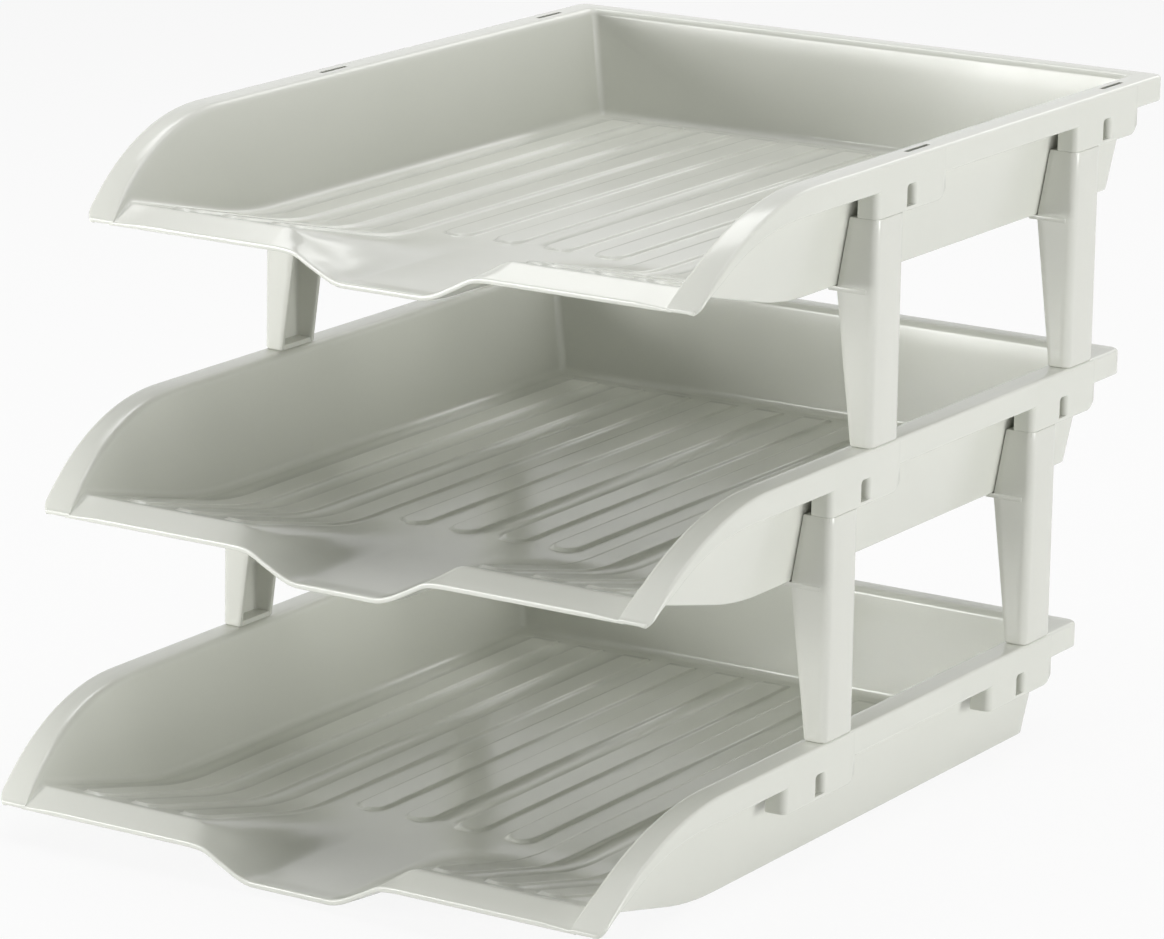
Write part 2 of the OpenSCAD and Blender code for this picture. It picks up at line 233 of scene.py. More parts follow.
def smooth(t):
    """Soft step from 0 to 1."""
    t = np.clip(t, 0, 1)
    return t * t * (3 - 2 * t)


print("soft step at a quarter", smooth(0.25))

# %% [markdown]
# ## The floor
#
# From back to front the floor runs level, bends up into a ramp and reaches a ridge that closes the front.
# In front of the ridge a short apron falls to the front edge. A scoop in the middle takes the ridge away
# for the fingers, and at the scoop's rim the ridge runs out to the front edge. Low ribs with round front
# ends stiffen the floor. A plane could be sculpted or displaced into that shape, but all of it is one
# height over depth and width, and a formula puts each bend where it belongs. So the floor is a height
# field: rise along the depth times share across the width, plus the ribs.

# %% Floor as a height field
RAMP_FOOT_Y = RIDGE_Y + RIDGE_RISE / RAMP_SLOPE
KNEE_TANGENT = KNEE_R * math.tan(math.atan(RAMP_SLOPE) / 2)
KNEE_BACK_Y = RAMP_FOOT_Y + KNEE_TANGENT
KNEE_FRONT_Y = RAMP_FOOT_Y - KNEE_TANGENT * math.cos(math.atan(RAMP_SLOPE))


def share(x):
    """Share of the height across the width: small in the scoop, whole outside it,
    and half a cosine wave between."""
    flank = np.clip((np.abs(x) - SCOOP_FLOOR_W / 2) / ((SCOOP_TOP_W - SCOOP_FLOOR_W) / 2), 0, 1)
    return SCOOP_SHARE + (1 - SCOOP_SHARE) * (1 - np.cos(math.pi * flank)) / 2


def rise(y, x=HALF_W):
    """Height of the moulding over the base: an arc of the knee's radius, then the ramp's straight line
    up to the ridge, and the apron's line down from there; the soft lower one counts. All follow the
    scoop's share, and at the scoop's rim the ridge sinks to the height of the front edge."""
    knee = KNEE_R - np.sqrt(KNEE_R ** 2 - np.clip(KNEE_BACK_Y - y, 0, KNEE_BACK_Y - KNEE_FRONT_Y) ** 2)
    ramp = np.where(y > KNEE_FRONT_Y, knee, (RAMP_FOOT_Y - y) * RAMP_SLOPE)
    crest = smooth((np.abs(x) - SCOOP_TOP_W / 2) / RIDGE_END + 0.5)
    front = RIDGE_RISE - APRON_DROP
    ridge = front + APRON_DROP * crest
    apron = front + (ridge - front) * y / RIDGE_Y + APRON_DROP * np.maximum(y / RIDGE_Y - 1, 0) ** 2
    ramp = ramp * ridge / RIDGE_RISE
    soft = RIDGE_SOFT + FLANK_SOFT * (1 - crest)
    return share(x) * (ramp + apron - np.sqrt((ramp - apron) ** 2 + soft ** 2)) / 2


print("ridge top", round(float(rise(np.array(RIDGE_Y)) + FLOOR_TOP), 2), "knee", round(KNEE_BACK_Y, 1))

# %% Ribs and the lower face
RIB_BACK_Y = TRAY_D - BACK_FLANGE - BACK_LEAN - WALL_T - RIB_BACK_GAP
RIB_RAMP_Y = RIDGE_Y + RIB_FRONT_GAP


def rib_height(x, y):
    """Height of the ribs: a soft step in the distance from each rib's middle line,
    which ends round at the front."""
    nearest = (np.floor(np.clip(np.abs(x), 0, RIB_PAIRS * RIB_PITCH - 1) / RIB_PITCH) + 0.5) * RIB_PITCH
    clear = nearest - RIB_W / 2 > SCOOP_TOP_W / 2
    front = np.where(clear, RIB_RAMP_Y, KNEE_BACK_Y) + RIB_W / 2
    distance = np.hypot(np.abs(x) - nearest, np.clip(front - y, 0, None))
    back_end = smooth((RIB_BACK_Y - y) / RIB_EDGE)
    return RIB_H * back_end * smooth((RIB_W / 2 + RIB_EDGE / 2 - distance) / RIB_EDGE)


def front_thin(y):
    """How much thinner the moulding gets towards its front edge: a soft step over the apron."""
    return FRONT_THIN * smooth((RIDGE_Y - y) / RIDGE_Y)


def floor_under(x, y):
    """Height of the floor's lower face."""
    return FLOOR_LIFT + rise(y, x) + front_thin(y)


print("rib height", float(rib_height(np.array(RIB_PITCH / 2), np.array(TRAY_D / 2))))

# %% [markdown]
# ## The wall and the rim
#
# A wall leans outwards from the floor, turns over a round edge into a flat flange, and the flange turns
# down into a lip. Towards the front the rim sweeps down in an arc to the tip. A curve with a bevel object
# could carry a profile along the rim, but always the same one, and this profile grows thinner towards the
# tip. So it is worked out anew at every station: from the floor up the inside, over the rim, and down the
# outside to the floor's lower face. Every profile point has a depth under the rim's top, and the arc of
# that depth is the sweep's arc with a smaller radius, so wall thicknesses stay true along the sweep.

# %% Sweep of the rim
SWEEP_Z = TRAY_H - SWEEP_R


def rim_height(y, depth):
    """Height of the surface at a depth under the rim: level behind the sweep,
    and an arc of a smaller radius in it."""
    reach = np.clip(SWEEP_LEN - y, 0, None)
    return SWEEP_Z + np.sqrt((SWEEP_R - depth) ** 2 - reach ** 2)


TIP_FALL = TRAY_H - float(rim_height(0.0, 0.0))


def flange_depth(y):
    """Depth of the flange's lower face under the rim: a soft step to a thin edge at the tip."""
    return FLANGE_T + (TIP_T - FLANGE_T) * smooth((TIP_RUN - y) / TIP_RUN)


def lip_depth(y):
    """Depth of the lip's lower edge under the rim: whole behind the sweep,
    and gone in the thin edge at the tip."""
    sweep = LIP_H + (TIP_LIP_H - LIP_H) * smooth((SWEEP_LEN - y) / SWEEP_LEN) ** LIP_FADE
    return sweep + (TIP_LIP_T - TIP_LIP_H) * smooth((TIP_RUN - y) / TIP_RUN)


print("rim falls by", round(TIP_FALL, 2), "lip", float(lip_depth(TRAY_D)), "to", float(lip_depth(0.0)))

# %% Rim profile
FLOOR_FILLET, RIM_EDGE, OUTER_EDGE, LIP_EDGE = 3.0, 3.0, 1.4, 0.9
UNDER_FILLET, WALL_FILLET, FOOT_EDGE, INNER_FOOT_EDGE = 0.15, 1.0, 0.8, 0.3
WALL_SHARE, EDGE_SHARE, LIP_SHARE, WEB_SHARE = 0.45, 0.5, 0.4, 0.3
LEAST_WALL, LEAST_WEB = 0.1, 0.05
ROUND, RUN = 6, 4  # profile points on a rounded edge and on a straight run
SLOT_INSETS = (SOCKET_W - SOCKET_WALL, SOCKET_W - SOCKET_WALL - SLOT_W)


def rim_profile(reach, overhang, lean, y):
    """Profile points for the depths y: distances out and heights up, each len(y) by profile points.
    The wall's outer face stands at reach - overhang at the rim and leans in by lean at the base.
    Where a face is low, a rounding takes only its share of it."""
    y = np.asarray(y, float).reshape(-1, 1)
    thick = WALL_T * math.hypot(1, lean / TRAY_H)

    def wall(z):
        return reach - overhang - lean * (TRAY_H - z) / TRAY_H

    top = rim_height(y, 0)
    fall = TRAY_H - top
    tip = TIP_R - np.sqrt(TIP_R ** 2 - np.clip(TIP_R - y, 0, TIP_R) ** 2)
    edge = reach - TIP_NARROW * fall / TIP_FALL - tip
    floor = np.minimum(FLOOR_TOP + rise(y), top - LEAST_WALL)
    height = top - floor
    fillet = np.minimum(FLOOR_FILLET, WALL_SHARE * height)
    rim = np.minimum(RIM_EDGE, WALL_SHARE * height)
    lip, flange = lip_depth(y), flange_depth(y)
    flange_z = rim_height(y, flange)
    foot_lift = (FLOOR_LIFT + FRONT_THIN) * smooth((RIDGE_Y - y) / RIDGE_Y)
    foot = np.minimum(rise(y) + foot_lift, flange_z - LEAST_WEB)
    outer_edge = np.minimum(OUTER_EDGE, EDGE_SHARE * lip)
    lip_edge = np.minimum(LIP_EDGE, LIP_SHARE * lip)
    lip_inner = np.minimum(LIP_EDGE, EDGE_SHARE * (lip - flange))
    under = np.minimum(UNDER_FILLET, LIP_SHARE * (lip - lip_inner - flange))
    web = np.minimum(WALL_FILLET, WEB_SHARE * (flange_z - foot))
    lower = np.minimum(FOOT_EDGE, WEB_SHARE * (flange_z - foot))
    sin, cos = quarter(ROUND)
    part = steps(0, 1, RUN + 2)[1:-1]
    inner_top = wall(rim_height(y, rim)) - thick
    inner_foot = wall(floor + fillet) - thick
    outs, ups = [], []

    def run(out, up):
        shape = np.broadcast_shapes(np.shape(out), np.shape(up), (len(y), 1))
        outs.append(np.broadcast_to(out, shape))
        ups.append(np.broadcast_to(up, shape))

    run(inner_foot - fillet + fillet * sin, floor + fillet * (1 - cos))
    rising = (floor + fillet) * (1 - part) + rim_height(y, rim) * part
    run(wall(rising) - thick, rising)
    run(inner_top + rim * (1 - cos), rim_height(y, rim * (1 - sin)))
    run(edge - np.array(SLOT_INSETS), top)
    run(edge - outer_edge * (1 - sin), rim_height(y, outer_edge * (1 - cos)))
    run(edge, rim_height(y, outer_edge * (1 - part) + (lip - lip_edge) * part))
    run(edge - lip_edge * (1 - cos), rim_height(y, lip - lip_edge * (1 - sin)))
    run(edge - LIP_T + lip_inner * (1 - sin), rim_height(y, lip - lip_inner * (1 - cos)))
    run(edge - LIP_T - under * (1 - cos), rim_height(y, flange + under * (1 - sin)))
    run(edge - np.array(SLOT_INSETS)[::-1], flange_z)
    outer_top = wall(rim_height(y, flange + web))
    run(outer_top + web * (1 - sin), rim_height(y, flange + web * (1 - cos)))
    falling = rim_height(y, flange + web) * (1 - part) + (foot + lower) * part
    run(wall(falling), falling)
    run(wall(foot + lower) - lower * (1 - cos), foot + lower * (1 - sin))
    inner_edge = wall(foot) - thick
    run(inner_edge + INNER_FOOT_EDGE * (1 - sin), foot + INNER_FOOT_EDGE * (1 - cos))
    run(inner_foot - fillet, floor - FLOOR_T + front_thin(y))
    return np.concatenate(outs, 1), np.concatenate(ups, 1)


profile_out, _ = rim_profile(HALF_W, SIDE_FLANGE, SIDE_LEAN, [TRAY_D / 2])
print("profile points", profile_out.shape[1])

# %% [markdown]
# ## One tray as a welded grid
#
# The right half of the tray is made first. Its stations run from the middle of the back wall, round the
# back corner and along the side to the front tip. At the back corner each profile point turns on its own
# small radius. A Boolean union could join floor and wall, but it leaves long thin triangles that shade
# badly. Here the floor's columns continue the stations of the back and its rows those of the side, so
# the floor and the wall share their edge points and weld into one skin.

# %% Stations along the rim
CELL_L = RISER_L - 2 * SOCKET_WALL
SLOT_STARTS = [y + TIER_STEP + SOCKET_WALL for y in SOCKET_YS]
NOSE = 0.65
FLANK_STEPS = 18
LEVEL_STEP, SWEEP_STEP = 13.0, 4.5
LEAST_COLUMN, LEAST_ROW = 0.25, 0.2
RIB_END_ROWS = np.array([-1.0, -0.5, 0, 0.4, 0.9, 1.6, 2.5, 3.6, 5.0, 6.6, 9])


def rib_columns():
    """Widths at which the floor has columns: close together over each rib's edges and the scoop's flanks."""
    half = RIB_W / 2
    across = np.array([0, 2, 3.8, 5.0, half - 0.5, half - 0.2, half + 0.2, half + 0.5])
    across = np.unique(np.concatenate([-across, across]))
    middles = (np.arange(RIB_PAIRS) + 0.5) * RIB_PITCH
    between = np.arange(RIB_PAIRS) * RIB_PITCH
    flank = steps(SCOOP_FLOOR_W / 2, SCOOP_TOP_W / 2 + RIDGE_END / 2, FLANK_STEPS)
    columns = np.concatenate([(middles[:, None] + across).ravel(), between, flank])
    columns = np.unique(np.round(columns, 2))
    kept = np.concatenate([[True], np.diff(columns) > LEAST_COLUMN])
    return columns[kept]


def side_stations():
    """Depths at which the side has stations, from the back to the front nose."""
    slots = np.concatenate([[y, y + CELL_L / 2, y + CELL_L] for y in SLOT_STARTS])
    rib_ends = RIB_BACK_Y - np.array([-2.5, 0, 0.3, 0.7, 1.0, 4.0])
    knee_ends = KNEE_BACK_Y + RIB_END_ROWS
    level = np.arange(KNEE_BACK_Y + 16, RIB_BACK_Y - 10, LEVEL_STEP)
    sweep = np.arange(28, KNEE_BACK_Y - 2, SWEEP_STEP)
    ramp_ends = RIB_RAMP_Y + RIB_END_ROWS
    ridge = RIDGE_Y + np.array([-4, -2.6, -1.6, -0.8, 0, 0.8, 1.6, 2.8])
    tip = np.array([NOSE, 0.8, 1.2, 1.8, 2.6, 3.6, 4.6, 6.0])
    ys = np.concatenate([slots, rib_ends, knee_ends, level, sweep, ramp_ends, ridge, tip])
    ys = np.unique(np.round(ys, 2))
    kept = np.concatenate([[True], np.diff(ys) > LEAST_ROW])
    ys = np.union1d(ys[kept], np.round(slots, 2))
    return ys[::-1]


columns_x = rib_columns()
side_y = side_stations()
print("columns", len(columns_x), "rows", len(side_y))

# %% Right half of a tray
CORNER_STEPS = 7
LIP_CORNER_R, WALL_MARGIN = CORNER_R - 1.5, 1.5


def corner_radii(out):
    """Radius at which each profile point turns the back corner: tight inside,
    and as wide as the rim's outline outside."""
    inset = HALF_W - out
    radii = np.interp(inset, [0, LIP_T, SIDE_FLANGE + WALL_T], [CORNER_R, LIP_CORNER_R, FLOOR_FILLET])
    half = len(radii) // 2
    sin, _ = quarter(ROUND)
    radii[:ROUND] = FLOOR_FILLET * sin
    radii[half:] = np.where(inset[half:] > SIDE_FLANGE - WALL_MARGIN, FLOOR_FILLET + WALL_T, radii[half:])
    radii[-1] = 0
    return radii


def half_rim(side_y):
    """Stations by profile points: the back run, the turned corner, then the side with its sweep."""
    side_out, side_up = rim_profile(HALF_W, SIDE_FLANGE, SIDE_LEAN, side_y)
    out, up = (a[0] for a in rim_profile(HALF_W, SIDE_FLANGE, SIDE_LEAN, [TRAY_D / 2]))
    back, _ = (a[0] for a in rim_profile(TRAY_D, BACK_FLANGE, BACK_LEAN, [TRAY_D / 2]))
    radii = corner_radii(out)
    along = np.append(columns_x, out[0])[:, None] / out[0]
    back_run = np.stack([along * (out - radii), np.broadcast_to(back, (len(along), len(out))),
                         np.broadcast_to(up, (len(along), len(out)))], -1)
    turn = np.linspace(math.pi / 2, 0, CORNER_STEPS)[1:, None]
    corner = np.stack([out - radii + radii * np.cos(turn), back - radii + radii * np.sin(turn),
                       np.broadcast_to(up, (len(turn), len(out)))], -1)
    side = np.stack([side_out, np.broadcast_to(side_y[:, None], side_out.shape), side_up], -1)
    return np.concatenate([back_run, corner, side])


rim = half_rim(side_y)
print("rim grid", rim.shape)

# %% Floor grids that share the rim's edge
def half_floor(rim, side_y):
    """Rows by columns for the upper and lower face.
    The last columns stretch to the wall, which leans outwards."""
    back_count = len(columns_x) + 1
    first_side = back_count + CORNER_STEPS - 1
    edge_x = np.append(rim[back_count - 1, 0, 0], rim[first_side:, 0, 0])
    row_y = np.append(rim[0, 0, 1], side_y)
    base_x = np.append(columns_x, edge_x[0])
    stretch = smooth((base_x - columns_x[-1]) / (edge_x[0] - columns_x[-1]))
    x = base_x[None, :] + (edge_x - edge_x[0])[:, None] * stretch[None, :]
    y = np.broadcast_to(row_y[:, None], x.shape)
    edge_up = np.append(rim[back_count - 1, 0, 2], rim[first_side:, 0, 2])[:, None]
    edge_under = np.append(rim[back_count - 1, -1, 2], rim[first_side:, -1, 2])[:, None]
    under = floor_under(x, y)
    near = smooth((x - columns_x[-1]) / (edge_x[:, None] - columns_x[-1]))
    over = under + FLOOR_T + rib_height(x, y) + near * (edge_up - under[:, -1:] - FLOOR_T)
    upper = np.stack([x, y, over], -1)
    lower = np.stack([x, y, under + near * (edge_under - under[:, -1:])], -1)
    return upper, lower


upper_floor, lower_floor = half_floor(rim, side_y)
print("floor grid", upper_floor.shape)

# %% [markdown]
# The front end needs closing: the floor's front edge and the end of the rim form one narrow upright face
# with soft edges. A Bevel modifier could soften them, but by its angle it would take hold of other sharp
# edges too. So a few more rows carry both round a small nose, and the rim's end then closes with one face.
# The slots for the risers' tongues are holes in the flange. A Boolean could cut them, but the grid already
# has lines there: quads are left out of its upper and lower side, and four short walls join the openings.

# %% Front nose
NOSE_BORDER = 0.06
SMALL_ROUND = 4  # points on a small rounded edge


def nose_rows(line, inward, border=0.0):
    """Rows that carry a front line round the nose: forward by the sine and inward by one minus the cosine.
    A border adds one more row, a little further in on the flat front."""
    sin, cos = quarter(SMALL_ROUND)
    drop = np.append(NOSE * (1 - cos[1:]), [NOSE + border] if border else [])[:, None]
    y = np.append(NOSE * (1 - sin[1:]), [0.0] if border else [])[:, None] + np.zeros(len(line))
    return np.stack([line[:, 0] + inward[:, 0] * drop, y, line[:, 2] + inward[:, 1] * drop], -1)


def end_inward(count):
    """Directions into the material round the rim's end: down from the top, in from the lip
    and up from below."""
    sin, cos = quarter(ROUND)
    top = 2 * ROUND + RUN + 2
    edge, lip, under = top + ROUND, top + ROUND + RUN, top + 2 * ROUND + RUN
    inward = np.zeros((count, 2))
    inward[:top] = (0, -1)
    inward[top:edge] = np.column_stack([-sin, -cos])
    inward[edge:lip] = (-1, 0)
    inward[lip:under] = np.column_stack([-cos, sin])
    inward[under:] = (0, 1)
    return inward


print("nose grid", nose_rows(rim[-1], end_inward(rim.shape[1]), NOSE_BORDER).shape)

# %% Slots in the flange
def slot_walls(points, first, last, top_inner, under_outer):
    """Quads round a slot from its first to its last station, between the upper and the lower opening.
    Each station has the given number of points."""

    def at(station, point):
        return station * points + point

    along = np.arange(first, last)
    inner = np.stack([at(along, top_inner), at(along + 1, top_inner),
                      at(along + 1, under_outer + 1), at(along, under_outer + 1)], -1)
    outer = np.stack([at(along, top_inner + 1), at(along + 1, top_inner + 1),
                      at(along + 1, under_outer), at(along, under_outer)], -1)
    ends = [[at(s, top_inner), at(s, top_inner + 1), at(s, under_outer), at(s, under_outer + 1)]
            for s in (first, last)]
    return np.concatenate([inner, outer, np.array(ends)])


print("slots at", np.round(SLOT_STARTS, 1), "of length", round(float(CELL_L), 1))

# %% Half a tray
def half_tray(moulding, side):
    """Adds one half of a tray: the rim with its slots, both faces of the floor, the nose
    and the rim's end."""
    flip = np.array([side, 1, 1])
    count, points = rim.shape[:2]
    quads = grid_faces(count, points)
    keep = np.ones(quads.shape[:2], bool)
    top_inner = 2 * ROUND + RUN
    under_outer = points - 3 * ROUND - RUN - 3
    first_side = count - len(side_y)
    walls = []
    for start in SLOT_STARTS:
        last = first_side + int(np.argmin(np.abs(side_y - start)))
        first = first_side + int(np.argmin(np.abs(side_y - start - CELL_L)))
        keep[first:last, top_inner] = False
        keep[first:last, under_outer] = False
        walls.append(slot_walls(points, first, last, top_inner, under_outer))
    moulding.add(rim * flip, np.concatenate([quads[keep], *walls]))
    moulding.add_grid(upper_floor * flip)
    moulding.add_grid(lower_floor * flip)
    end = rim[-1]
    loop = np.concatenate([end[None], nose_rows(end, end_inward(points), NOSE_BORDER)])
    start = moulding.add_grid(loop * flip)
    moulding.faces.append((start + (len(loop) - 1) * points + np.arange(points)).tolist())
    upper, lower = upper_floor[-1], lower_floor[-1]
    down = np.tile((0.0, -1.0), (len(upper), 1))
    front = np.concatenate([upper[None], nose_rows(upper, down), nose_rows(lower, -down)[::-1], lower[None]])
    moulding.add_grid(front * flip)


print("rim stations", len(rim), "of which the side has", len(side_y))

# %% [markdown]
# ## Socket blocks
#
# Under each side rim hang two blocks. A block is a cup with thin walls, open below: its front cell takes
# the peg of the riser underneath, its rear cell the tongue of the riser above, and a latch window shows
# between them. A box with a Solidify modifier would make a plain cup. This one has its own radius at each
# corner and a lower edge that climbs in an arc at the rear, so it is a wall carried round a closed outline.

# %% Rounded outlines and slabs
ARC, LEAST_R = 5, 0.05


def rounded_outline(low, high, radii):
    """Closed outline of a rectangle in plan: an arc at each corner, from low-low round by high-low."""
    (x0, y0), (x1, y1) = low, high
    centres = [(x0 + radii[0], y0 + radii[0]), (x1 - radii[1], y0 + radii[1]),
               (x1 - radii[2], y1 - radii[2]), (x0 + radii[3], y1 - radii[3])]
    arcs = []
    for k, (cx, cy) in enumerate(centres):
        a = np.linspace(math.pi * (1 + k / 2), math.pi * (1.5 + k / 2), ARC)
        arcs.append(np.stack([cx + radii[k] * np.cos(a), cy + radii[k] * np.sin(a)], -1))
    return np.concatenate(arcs)


def slab(moulding, low, high, radius=0.5, edges=(0.3, 0.3), mirror=1):
    """A block with rounded upright edges, and its lower and upper edges rounded by their own radii."""
    low, high = np.array(low, float), np.array(high, float)
    sin, cos = quarter(SMALL_ROUND)
    inset = np.concatenate([edges[0] * (1 - sin), edges[1] * (1 - cos)])
    level = np.concatenate([low[2] + edges[0] * (1 - cos), high[2] - edges[1] * (1 - sin)])
    rows = []
    for shrink, z in zip(inset, level):
        corner = max(radius - shrink, LEAST_R)
        plan = rounded_outline(low[:2] + shrink, high[:2] - shrink, [corner] * 4)
        rows.append(np.column_stack([plan, np.full(len(plan), z)]))
    grid = np.stack(rows) * np.array([mirror, 1, 1])
    start = moulding.add_grid(grid, ring_faces(*grid.shape[:2]))
    ring = np.arange(grid.shape[1])
    moulding.faces.append((start + ring).tolist())
    moulding.faces.append((start + (grid.shape[0] - 1) * grid.shape[1] + ring).tolist())


print("points on a rounded rectangle", len(rounded_outline((0, 0), (2, 2), [0.5] * 4)))

# %% [markdown]
# The latch window is a hole with round upper corners. Its rear edge rounds outwards, which leads the
# latch in. A cutter of that shape and a Boolean would do, but the hole itself is as easy to make: the
# wall's one quad is left out there, flat faces fill the rest of that quad up to the window's outline, and
# rows of the outline, one behind the other, make the jambs.

# %% Latch window
PROUD = 0.02
WINDOW_TOP = TRAY_H - LIP_H
WINDOW_FRONT = RISER_L + (TIER_STEP - RISER_L - WINDOW_W) / 2
WINDOW_MARGIN = 0.6
JAMB_ROWS = 6
WINDOW_POINTS = 2 * ARC + 2


def window_outline(rear):
    """Depths and heights round the window from its front sill: two upright edges,
    and arcs at the upper corners."""
    sin, cos = quarter(ARC)
    sill = WINDOW_TOP - WINDOW_H
    front_arc = np.column_stack([WINDOW_FRONT + WINDOW_R * (1 - cos), WINDOW_TOP - WINDOW_R * (1 - sin)])
    rear_arc = np.column_stack([rear - WINDOW_R * (1 - sin), WINDOW_TOP - WINDOW_R * (1 - cos)])
    return np.concatenate([[(WINDOW_FRONT, sill)], front_arc, rear_arc, [(rear, sill)]])


def window_jambs():
    """Rows of the outline from the lip's inner to its outer face: the rear edge moves back
    on a quarter ellipse."""
    sin, cos = quarter(JAMB_ROWS)
    rear = WINDOW_FRONT + WINDOW_W + WINDOW_FLARE * (1 - cos)
    across = HALF_W - LIP_T + (LIP_T + PROUD) * sin
    outlines = np.stack([window_outline(r) for r in rear])
    across = np.broadcast_to(across[:, None, None], (JAMB_ROWS, WINDOW_POINTS, 1))
    return np.concatenate([across, outlines], -1)


def window_frame(corner, ring):
    """Flat faces between a quad's corners (front top, front bottom, rear top, rear bottom)
    and the outline's points."""
    front_top, front_low, rear_top, rear_low = corner
    front_end, rear_start, rear_end = ARC, ARC + 1, 2 * ARC
    faces = [[front_low, front_top, ring[1], ring[0]],
             [front_top, rear_top, ring[rear_start], ring[front_end]],
             [rear_top, rear_low, ring[-1], ring[rear_end]],
             [rear_low, front_low, ring[0], ring[-1]]]
    faces += [[front_top, ring[i], ring[i + 1]] for i in range(1, front_end)]
    faces += [[rear_top, ring[i], ring[i + 1]] for i in range(rear_start, rear_end)]
    return faces


print("window outline", window_outline(WINDOW_FRONT + WINDOW_W).shape)

# %% Outlines of a socket block
SOCKET_CORNER_R = 0.8
CLIMB_POINTS, CLIMB_CLEAR = 6, 0.6


def socket_foot(y):
    """Height of a block's lower edge at a distance behind its front: level,
    then an arc that climbs at the rear."""
    past = np.clip(y - (SOCKET_L - SOCKET_REAR_R), 0, SOCKET_REAR_R - 0.01)
    return TRAY_H - SOCKET_DROP + SOCKET_REAR_R - np.sqrt(SOCKET_REAR_R ** 2 - past ** 2)


def straight_points(outline, ys):
    """Adds points at the depths ys to both long straight sides of an outline of four arcs."""
    arcs = outline.reshape(4, -1, 2)
    outer = np.column_stack([np.full(len(ys), arcs[2, 0, 0]), ys])
    inner = np.column_stack([np.full(len(ys), arcs[3, -1, 0]), ys[::-1]])
    return np.concatenate([arcs[0], arcs[1], outer, arcs[2], arcs[3], inner])


def socket_outlines():
    """Outer and inner outline of the cup's wall, with points beside the window and along the rear climb."""
    window_rear = WINDOW_FRONT + WINDOW_W + WINDOW_FLARE
    climb = SOCKET_L - SOCKET_REAR_R + steps(0, SOCKET_REAR_R - SOCKET_WALL - CLIMB_CLEAR, CLIMB_POINTS)
    ys = np.concatenate([[WINDOW_FRONT - WINDOW_MARGIN, window_rear + WINDOW_MARGIN], climb])
    small = SOCKET_CORNER_R
    outer = rounded_outline((HALF_W - SOCKET_W, 0), (HALF_W + PROUD, SOCKET_L),
                            [small, SOCKET_FRONT_R, small, small])
    inner = rounded_outline((HALF_W - SOCKET_W + SOCKET_WALL, SOCKET_WALL),
                            (HALF_W - LIP_T, SOCKET_L - SOCKET_WALL),
                            [small / 2, SOCKET_FRONT_R - SOCKET_WALL, small / 2, small / 2])
    return straight_points(outer, ys), straight_points(inner, ys)


print("points round a block", len(socket_outlines()[0]))

# %% One socket block
SOCKET_TOP = TRAY_H - FLANGE_T / 2
SOCKET_EDGE = 0.5
CELL_WALL_IN, CELL_WALL_OUT, CELL_WALL_LIFT = 1.0, 0.3, 0.4


def socket_block(moulding, y0, side):
    """A cup wall: outer face down, a rounded lower edge, inner face up, closed on top inside the flange.
    A window goes through its outer side, and two walls across it part its cells."""
    outer, inner = socket_outlines()
    foot = socket_foot(outer[:, 1])
    toward = (inner - outer) / np.linalg.norm(inner - outer, axis=1)[:, None]
    levels = (SOCKET_TOP, WINDOW_TOP + WINDOW_MARGIN, WINDOW_TOP - WINDOW_H - WINDOW_MARGIN)
    rows = [np.column_stack([outer, np.maximum(z, foot + SOCKET_EDGE)]) for z in levels]
    for s, c in zip(*quarter(SMALL_ROUND)):
        rows.append(np.column_stack([outer + toward * SOCKET_EDGE * (1 - c), foot + SOCKET_EDGE * (1 - s)]))
    for s, c in zip(*quarter(SMALL_ROUND)):
        rows.append(np.column_stack([inner - toward * SOCKET_EDGE * (1 - s), foot + SOCKET_EDGE * (1 - c)]))
    rows += [np.column_stack([inner, np.maximum(z, foot + SOCKET_EDGE)]) for z in levels[::-1]]
    grid = np.stack(rows + rows[:1])
    count = grid.shape[1]
    quads = ring_faces(*grid.shape[:2])
    window, outer_row, inner_row = 2 * ARC, 1, len(rows) - 3
    keep = np.ones(quads.shape[:2], bool)
    keep[[outer_row, inner_row], window] = False
    place, flip = np.array([0, y0, 0]), np.array([side, 1, 1])
    start = moulding.add((grid + place) * flip, quads[keep])
    jambs = window_jambs()
    ring_start = moulding.add_grid((jambs + place) * flip, ring_faces(*jambs.shape[:2]))
    sides = ((outer_row, outer_row + 1, JAMB_ROWS - 1), (inner_row + 1, inner_row, 0))
    for top_row, low_row, ring_row in sides:
        top, low = start + top_row * count + window, start + low_row * count + window
        ring = ring_start + ring_row * WINDOW_POINTS + np.arange(WINDOW_POINTS)
        frame_faces = window_frame((top, low, top + 1, low + 1), ring)
        moulding.faces += [[int(i) for i in face] for face in frame_faces]
    for wall_y in (RISER_L - SOCKET_WALL, TIER_STEP):
        wall_low = (HALF_W - SOCKET_W + CELL_WALL_IN, y0 + wall_y, TRAY_H - SOCKET_DROP + CELL_WALL_LIFT)
        wall_high = (HALF_W - LIP_T + CELL_WALL_OUT, y0 + wall_y + SOCKET_WALL, SOCKET_TOP)
        slab(moulding, wall_low, wall_high, mirror=side)


print("socket top", SOCKET_TOP, "cell walls", RISER_L - SOCKET_WALL, "and", TIER_STEP, "behind its front")

# %% The three trays
TRAYS = ["lower_tray", "middle_tray", "top_tray"]
tray_form = Moulding()
for side in (1, -1):
    half_tray(tray_form, side)
    for y0 in SOCKET_YS:
        socket_block(tray_form, y0, side)

tray_pieces = {}
for node in TRAYS:
    low, _ = corners(node)
    tray_pieces[node] = tray_form.make(node + "_moulding", np.array([0, low[1], low[2]]))
    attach(tray_pieces[node], node)
    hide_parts(node)
    print(node, "faces", len(tray_pieces[node].data.polygons))

